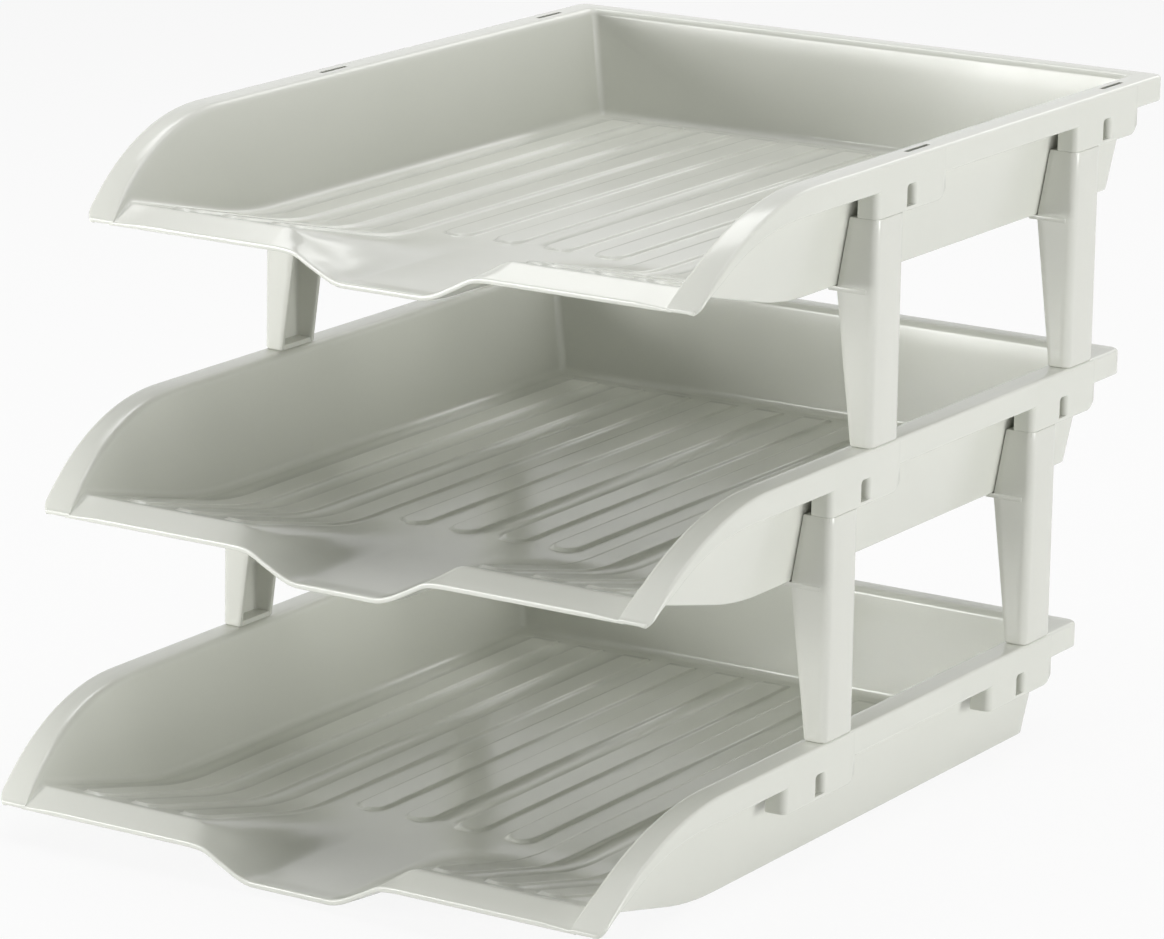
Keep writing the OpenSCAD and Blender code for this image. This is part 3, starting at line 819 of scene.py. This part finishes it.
# %% [markdown]
# ## The risers
#
# A riser is a channel, open towards the trays, that tapers to its foot. A ledge part-way up takes the
# edge of the tray above. A bent sheet with a Solidify modifier would be a channel too, but the ends of
# its legs would stay square. Seen from above, the channel is a bent strip: out along the front face, round
# the corner, along the outer face and back. The same closed strip outline at every level, with its two
# legs as long as that level needs and round at their ends, gives the whole channel as one grid.

# %% Riser sizes
RISER_T, RISER_R, RISER_DRAFT, FOOT_W = 2.2, 3.5, 0.35, 9.5
LEDGE_REACH, LEDGE_T, LEDGE_PROUD, LEDGE_SETBACK = 3.5, 2.0, 0.15, 0.6
PEG_H, PEG_CLEAR, PEG_ROOT, WALL_CLEAR = 13.0, 0.3, 1.0, 0.3
RISER_H = TIER_PITCH - SOCKET_DROP
LEDGE_Z = TIER_PITCH - TRAY_H
LEDGE_IN = SIDE_FLANGE + SIDE_LEAN
SHOULDER_IN = SIDE_FLANGE + SIDE_LEAN * SOCKET_DROP / TRAY_H - WALL_CLEAR


def leg_length(z):
    """How far the channel's legs reach in at a height: wider from the foot to the ledge,
    then along the leaning wall."""
    return np.interp(z, [0, LEDGE_Z - LEDGE_T, LEDGE_Z, RISER_H],
                     [FOOT_W, LEDGE_IN - WALL_CLEAR, LEDGE_IN - WALL_CLEAR, SHOULDER_IN])


print("riser height", RISER_H, "ledge", LEDGE_Z, "legs", leg_length(0.0), "to", leg_length(LEDGE_Z))

# %% Strip outline of a riser
LEG_POINTS, LEG_TIP = 5, 0.6
LEG_TIP_REACH, LEG_TIP_SPREAD = np.array([0.75, 1, 0.75]), np.array([0.7, 0, -0.7])


def strip_outline(leg, half, inset):
    """Parts of the bent strip's outline at one level: its outer path, its inner path and the end of a leg."""
    sin, cos = quarter(ROUND)
    r_out, r_in = RISER_R - inset, RISER_R - RISER_T + inset
    leg_u = leg - inset - LEG_TIP
    along = leg_u + (RISER_R - leg_u) * steps(0, 1, LEG_POINTS)
    outer_leg = np.column_stack([along, np.full(LEG_POINTS, -half + inset)])
    outer_corner = np.column_stack([RISER_R - r_out * sin[1:], -half + RISER_R - r_out * cos[1:]])
    inner_leg = np.column_stack([along, np.full(LEG_POINTS, -half + RISER_T - inset)])
    inner_corner = np.column_stack([RISER_R - r_in * sin[1:], -half + RISER_R - r_in * cos[1:]])
    tip = np.column_stack([leg_u + LEG_TIP * LEG_TIP_REACH,
                           -half + RISER_T / 2 + (RISER_T / 2 - inset) * LEG_TIP_SPREAD])
    outer_half = np.concatenate([outer_leg, outer_corner])
    inner_half = np.concatenate([inner_leg, inner_corner])
    flip = np.array([1, -1])
    outer = np.concatenate([outer_half, (outer_half * flip)[::-1]])
    inner = np.concatenate([inner_half, (inner_half * flip)[::-1]])
    return outer, inner, tip


print("points on the strip's paths", [len(path) for path in strip_outline(FOOT_W, RISER_L / 2, 0.0)])

# %% One riser
SHAFT_FROM, SHAFT_LEVELS, NECK_LEVELS = 4.0, 7, 6
RISER_FOOT_EDGE, SHOULDER_EDGE, SHOULDER_BULGE = 1.0, 0.4, 0.1
PLATE_SUNK, PLATE_SHORT, PLATE_LIFT, PLATE_EDGES = 1.0, 0.3, 0.05, (0.2, 0.4)


def riser_form():
    """A left-hand riser: the channel as rings of strip outlines, with plates for foot, ledge and shoulder,
    a peg and a tongue."""
    form = Moulding()
    sin, cos = quarter(ARC)
    shaft = np.concatenate([steps(SHAFT_FROM, LEDGE_Z - LEDGE_T, SHAFT_LEVELS),
                            steps(LEDGE_Z, RISER_H - SHOULDER_EDGE, NECK_LEVELS)])
    levels = np.concatenate([RISER_FOOT_EDGE * (1 - cos), shaft, [RISER_H - SHOULDER_BULGE, RISER_H]])
    insets = np.concatenate([RISER_FOOT_EDGE * (1 - sin), np.zeros(len(shaft)),
                             [SHOULDER_BULGE, SHOULDER_EDGE]])
    middle = RISER_L / 2
    rings = []
    for z, inset in zip(levels, insets):
        half = middle + RISER_DRAFT * (1 - 2 * z / RISER_H)
        outer, inner, tip = strip_outline(float(leg_length(z)), half, inset)
        ring = np.concatenate([outer, (tip * (1, -1))[::-1], inner[::-1], tip])
        rings.append(np.column_stack([ring[:, 0], ring[:, 1] + middle, np.full(len(ring), z)]))
    grid = np.stack(rings)
    start = form.add_grid(grid, ring_faces(*grid.shape[:2]))
    count = grid.shape[1]
    for level in (0, len(levels) - 1):
        form.faces.append((start + level * count + np.arange(count)).tolist())
    peg_x = (LIP_T + PEG_CLEAR, SLOT_INSETS[0] - PEG_CLEAR)
    tongue_x = (SLOT_INSETS[1] + PEG_CLEAR, SLOT_INSETS[0] - PEG_CLEAR)
    peg_y = (SOCKET_WALL + PEG_CLEAR, RISER_L - SOCKET_WALL - PEG_CLEAR)
    slab(form, (PLATE_SUNK, PLATE_SUNK, PLATE_LIFT),
         (FOOT_W - PLATE_SHORT, RISER_L - PLATE_SUNK, RISER_T), edges=PLATE_EDGES)
    slab(form, (PLATE_SUNK, PLATE_SUNK, RISER_H - RISER_T),
         (SHOULDER_IN - PLATE_SHORT, RISER_L - PLATE_SUNK, RISER_H - PLATE_LIFT), edges=PLATE_EDGES[::-1])
    slab(form, (RISER_R + LEDGE_SETBACK, -LEDGE_PROUD, LEDGE_Z - LEDGE_T),
         (LEDGE_IN + LEDGE_REACH, RISER_L + LEDGE_PROUD, LEDGE_Z), radius=0.6)
    slab(form, (peg_x[0], peg_y[0], RISER_H - PEG_ROOT), (peg_x[1], peg_y[1], RISER_H + PEG_H),
         radius=0.7, edges=(0.2, 1.0))
    slab(form, (tongue_x[0], peg_y[0], -PEG_H), (tongue_x[1], peg_y[1], PEG_ROOT), edges=(0.5, 0.2))
    return form


# %% The eight risers
riser = riser_form()
riser_pieces = {}
for node in [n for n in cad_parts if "_riser_" in n]:
    low, _ = corners(node)
    right = node.endswith("right")
    shift = np.array([HALF_W if right else -HALF_W, low[1], low[2] + PEG_H])
    riser_pieces[node] = riser.make(node + "_moulding", shift, mirrored=right)
    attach(riser_pieces[node], node)
    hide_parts(node)
print("risers", len(riser_pieces), "faces each", len(riser_pieces[node].data.polygons))

# %% [markdown]
# ## The plastic
#
# The mouldings are one light grey plastic, warm with a trace of green, half glossy. Seen close it isn't
# flat: the grey varies a little in slow clouds, the gloss is broken by handling, and the surface has the
# fine grain of the mould. Painted pictures could hold that, but noise needs no unwrapping and shows no
# seams, so each pattern is noise on Object coordinates. Shader maths reads best as ordinary expressions:
# one small class wraps a node's output and lets Python's operators add Math nodes.

# %% Shader expressions
class Expr:
    """Wraps an output socket, so that + - and * on values add Math nodes to its node tree."""

    def __init__(self, tree, socket):
        self.tree, self.socket = tree, socket

    def node(self, kind, settings=None, inputs=None, output=0):
        """Any node: its settings are set, then each input by name or number gets a value or a link."""
        made = self.tree.nodes.new(kind)
        for name, value in (settings or {}).items():
            setattr(made, name, value)
        for name, value in (inputs or {}).items():
            if isinstance(value, Expr):
                self.tree.links.new(value.socket, made.inputs[name])
            else:
                made.inputs[name].default_value = value
        return Expr(self.tree, made.outputs[output])

    def maths(self, operation, first, second):
        """A Math node of two values."""
        return self.node("ShaderNodeMath", {"operation": operation}, {0: first, 1: second})

    def __add__(self, other):
        return self.maths("ADD", self, other)

    def __sub__(self, other):
        return self.maths("SUBTRACT", self, other)

    def __rsub__(self, other):
        return self.maths("SUBTRACT", other, self)

    def __mul__(self, other):
        return self.maths("MULTIPLY", self, other)

    __radd__ = __add__
    __rmul__ = __mul__


def linear(red, green, blue):
    """A colour as it looks on screen, from 0 to 255, as the linear colour that a shader takes."""
    screen = np.array([red, green, blue]) / 255
    return (*np.where(screen <= 0.04045, screen / 12.92, ((screen + 0.055) / 1.055) ** 2.4).tolist(), 1.0)


print("middle grey on screen is", round(linear(128, 128, 128)[0], 3), "for a shader")

# %% Moulded plastic
HANDLING, CLOUD_SHARE = 0.12, 0.75
GRAIN_H, WAVE_H = 0.012 * MM, 0.06 * MM


def moulded_plastic(name, pale, deep, gloss):
    """Half-glossy plastic: clouds between two close greys, gloss broken by handling,
    and the fine grain of the mould."""
    material = bpy.data.materials.new(name)
    material.use_nodes = True
    tree = material.node_tree
    shader = tree.nodes["Principled BSDF"]
    place = Expr(tree, tree.nodes.new("ShaderNodeTexCoord").outputs["Object"])

    def noise(scale, detail, roughness=0.5):
        return place.node("ShaderNodeTexNoise", None,
                          {"Vector": place, "Scale": scale, "Detail": detail, "Roughness": roughness})

    clouds = noise(14, 3)
    speck = noise(900, 2)
    handling = noise(38, 5, 0.6)
    grain = noise(2600, 2)
    waves = noise(60, 2)
    tone = place.node("ShaderNodeMix", {"data_type": "RGBA"},
                      {0: clouds * CLOUD_SHARE + speck * (1 - CLOUD_SHARE), 6: deep, 7: pale}, output=2)
    height = grain * GRAIN_H + waves * WAVE_H
    bump = place.node("ShaderNodeBump", None, {"Strength": 0.5, "Distance": 1.0, "Height": height})
    tree.links.new(tone.socket, shader.inputs["Base Color"])
    tree.links.new((handling * HANDLING + (gloss - HANDLING / 2)).socket, shader.inputs["Roughness"])
    tree.links.new(bump.socket, shader.inputs["Normal"])
    shader.inputs["IOR"].default_value = 1.5
    return material


tray_plastic = moulded_plastic("tray_plastic", linear(226, 227, 219), linear(219, 221, 212), 0.2)
riser_plastic = moulded_plastic("riser_plastic", linear(224, 225, 217), linear(217, 218, 210), 0.2)
for piece in tray_pieces.values():
    piece.data.materials.append(tray_plastic)
for piece in riser_pieces.values():
    piece.data.materials.append(riser_plastic)
print("materials", [m.name for m in bpy.data.materials if m.name.endswith("plastic")])

# %% [markdown]
# ## Floor and light
#
# A pale floor carries the shadow, and a white surround shows behind it. A bright surround alone would
# light the stack evenly and flatten it, so it lights only a little, and lamps do the rest. The main lamp
# stands near the stack at the front left, low, so the trays darken towards the right. A broad lamp
# overhead and a low one at the right light the floors and the outer faces. A panel at the upper left
# mirrors in the front apron, and two weak lamps draw lines along the rims and fill the front.

# %% Floor
STAGE_SIZE, STAGE_Z = 14.0, -0.0004
STAGE_GREY, STAGE_GLOW = (0.86, 0.86, 0.86, 1), 0.9
WHITE = (1, 1, 1, 1)


def stage_floor():
    """A square under the stack, a touch below the base."""
    mesh = bpy.data.meshes.new("stage_floor")
    a = STAGE_SIZE / 2
    mesh.from_pydata([(x, y, STAGE_Z) for x, y in ((-a, -a), (a, -a), (a, a), (-a, a))], [], [(0, 1, 2, 3)])
    floor = bpy.data.objects.new("stage_floor", mesh)
    bpy.context.scene.collection.objects.link(floor)
    return floor


def looked_at(tree):
    """1 for light paths that look straight at a surface, from the camera, a mirror or glass, else 0."""
    path = tree.nodes.new("ShaderNodeLightPath")
    seen = Expr(tree, path.outputs["Is Camera Ray"])
    seen = seen + Expr(tree, path.outputs["Is Glossy Ray"]) + Expr(tree, path.outputs["Is Transmission Ray"])
    return seen.maths("MINIMUM", seen, 1.0)


def stage_material():
    """White floor: diffuse, to keep the shadow, with a white light of its own for what looks at it."""
    material = bpy.data.materials.new("stage_white")
    material.use_nodes = True
    tree = material.node_tree
    tree.nodes.clear()
    seen = looked_at(tree)
    diffuse = seen.node("ShaderNodeBsdfDiffuse", None, {"Color": STAGE_GREY})
    glow = seen.node("ShaderNodeEmission", None, {"Color": WHITE, "Strength": 1.0})
    mixed = seen.node("ShaderNodeMixShader", None, {0: seen * STAGE_GLOW, 1: diffuse, 2: glow})
    out = tree.nodes.new("ShaderNodeOutputMaterial")
    tree.links.new(mixed.socket, out.inputs["Surface"])
    return material


floor = stage_floor()
floor.data.materials.append(stage_material())
print("floor", [round(s, 2) for s in floor.dimensions])

# %% Surround
SURROUND = 0.06


def white_world(strength):
    """Even light of a given strength, and plain white for what looks at it."""
    world = bpy.data.worlds.new("surround")
    bpy.context.scene.world = world
    world.use_nodes = True
    tree = world.node_tree
    tree.nodes.clear()
    seen = looked_at(tree)
    level = strength + (1.0 - strength) * seen
    glow = seen.node("ShaderNodeBackground", None, {"Color": WHITE, "Strength": level})
    out = tree.nodes.new("ShaderNodeOutputWorld")
    tree.links.new(glow.socket, out.inputs["Surface"])


white_world(SURROUND)
print("surround lights with", SURROUND)

# %% Lamps
STACK_MIDDLE = (0, 0, 0.15)
# Place, target, size and power of each lamp, in metres and watts.
LAMPS = {
    "overhead": ((0.3, 0.2, 2.2), STACK_MIDDLE, 1.6, 21),
    "front_left": ((-1.0, -1.5, 0.3), (0, 0, 0.12), 0.7, 23),
    "low_right": ((2.2, 0.2, 0.2), STACK_MIDDLE, 0.9, 31),
    "left_panel": ((-0.7, 0.5, 1.45), (-0.7, 0.05, 0.2), 0.62, 4.8),
    "back_high": ((-0.1, 1.8, 1.4), STACK_MIDDLE, 0.9, 6),
    "right_front": ((1.6, -1.2, 0.6), STACK_MIDDLE, 0.8, 4),
}


def area_lamp(name, place, target, size, power):
    """A square lamp at a place, turned to a target."""
    data = bpy.data.lights.new(name, "AREA")
    data.shape, data.size, data.energy = "SQUARE", size, power
    lamp = bpy.data.objects.new(name, data)
    bpy.context.scene.collection.objects.link(lamp)
    back = np.array(place, float) - np.array(target, float)
    back /= np.linalg.norm(back)
    right = np.cross((0, 0, 1), back)
    right /= np.linalg.norm(right)
    matrix = np.eye(4)
    matrix[:3, 0], matrix[:3, 1], matrix[:3, 2], matrix[:3, 3] = right, np.cross(back, right), back, place
    lamp.matrix_world = matrix.T.tolist()


for name, settings in LAMPS.items():
    area_lamp(name, *settings)
print("lamps", list(LAMPS))

# %% Finish
bpy.context.scene.view_settings.view_transform = "Standard"
